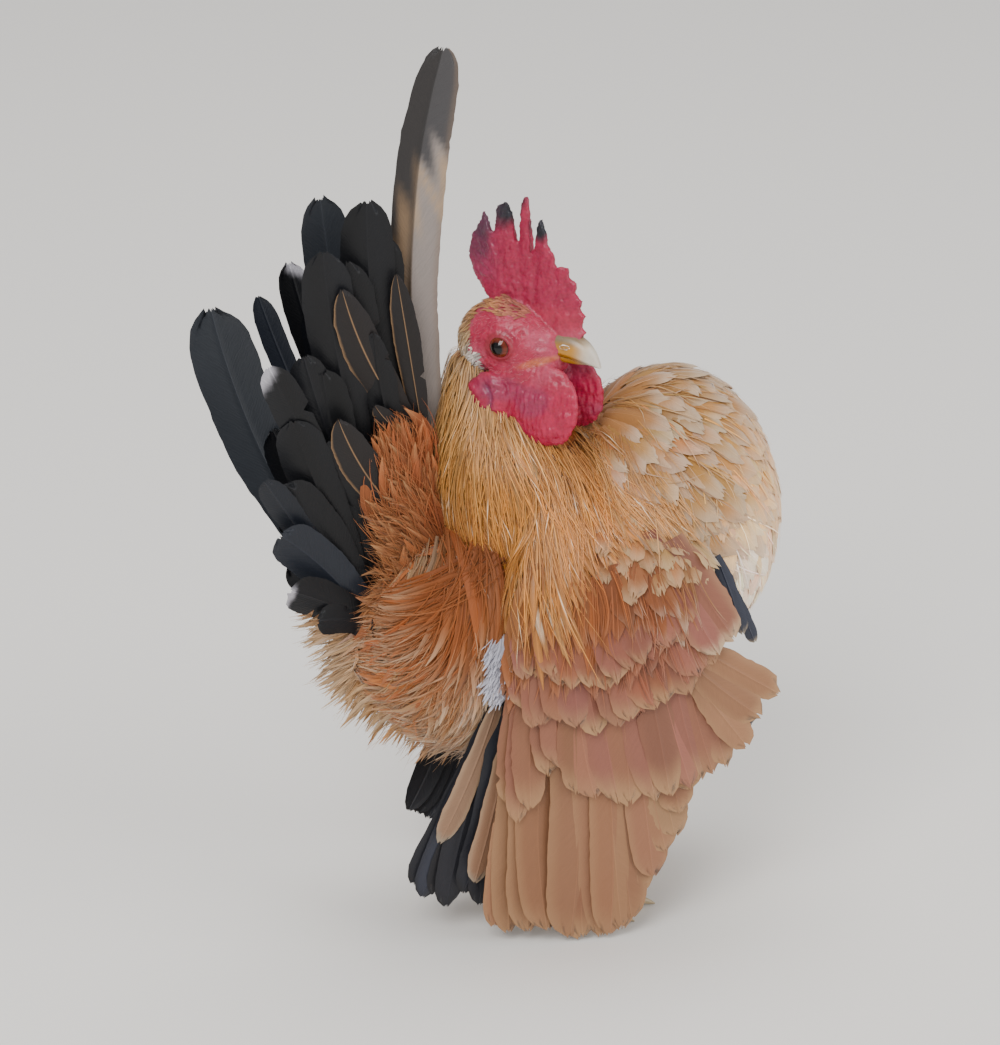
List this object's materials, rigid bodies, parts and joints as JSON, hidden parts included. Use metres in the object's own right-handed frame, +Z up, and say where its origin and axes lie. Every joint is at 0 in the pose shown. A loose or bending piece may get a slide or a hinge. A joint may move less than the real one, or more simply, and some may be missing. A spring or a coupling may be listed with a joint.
{
  "type": "serama cock, life-size still model",
  "caption": "Small upright cockerel standing with breast thrown forward, wings held straight down, fanned tail raised and head turned to its right.",
  "frame": {"origin": "on the floor, under the middle of the bird's bounding box", "axes": "+X towards the breast, +Y to the bird's left, +Z up"},
  "size_m": [0.1822, 0.105, 0.2879],
  "materials": {
    "beak_horn": "satin horn",
    "claw_horn": "satin horn",
    "comb_skin": "bare skin with fine papillae",
    "eye_ball": "wet gloss",
    "leg_skin": "scaled skin",
    "head_skin": "bare skin",
    "hackle_feathers": "glossy narrow feathers",
    "primary_feathers": "satin feathers",
    "wing_feathers": "satin feathers",
    "sickle_feather": "satin feather",
    "tail_feathers": "glossy feathers",
    "breast_feathers": "soft feathers"
  },
  "bodies": {
    "root": {"beak_lower": "beak_horn", "beak_upper": "beak_horn", "claw_hind_L": "claw_horn", "claw_hind_R": "claw_horn", "claw_inner_L": "claw_horn", "claw_inner_R": "claw_horn", "claw_middle_L": "claw_horn", "claw_middle_R": "claw_horn", "claw_outer_L": "claw_horn", "claw_outer_R": "claw_horn", "comb": "comb_skin", "earlobe_L": "comb_skin", "earlobe_R": "comb_skin", "eye_L": "eye_ball", "eye_R": "eye_ball", "foot_L": "leg_skin", "foot_R": "leg_skin", "head": "head_skin", "neck": "hackle_feathers", "primaries_L": "primary_feathers", "primaries_R": "primary_feathers", "secondaries_L": "wing_feathers", "secondaries_R": "wing_feathers", "sickle": "sickle_feather", "spur_L": "claw_horn", "spur_R": "claw_horn", "tail_L": "tail_feathers", "tail_R": "tail_feathers", "tail_coverts_L": "tail_feathers", "tail_coverts_R": "tail_feathers", "thigh_L": "hackle_feathers", "thigh_R": "hackle_feathers", "torso": "breast_feathers", "wattle_L": "comb_skin", "wattle_R": "comb_skin", "wing_L": "wing_feathers", "wing_R": "wing_feathers"}
  },
  "joints": []
}
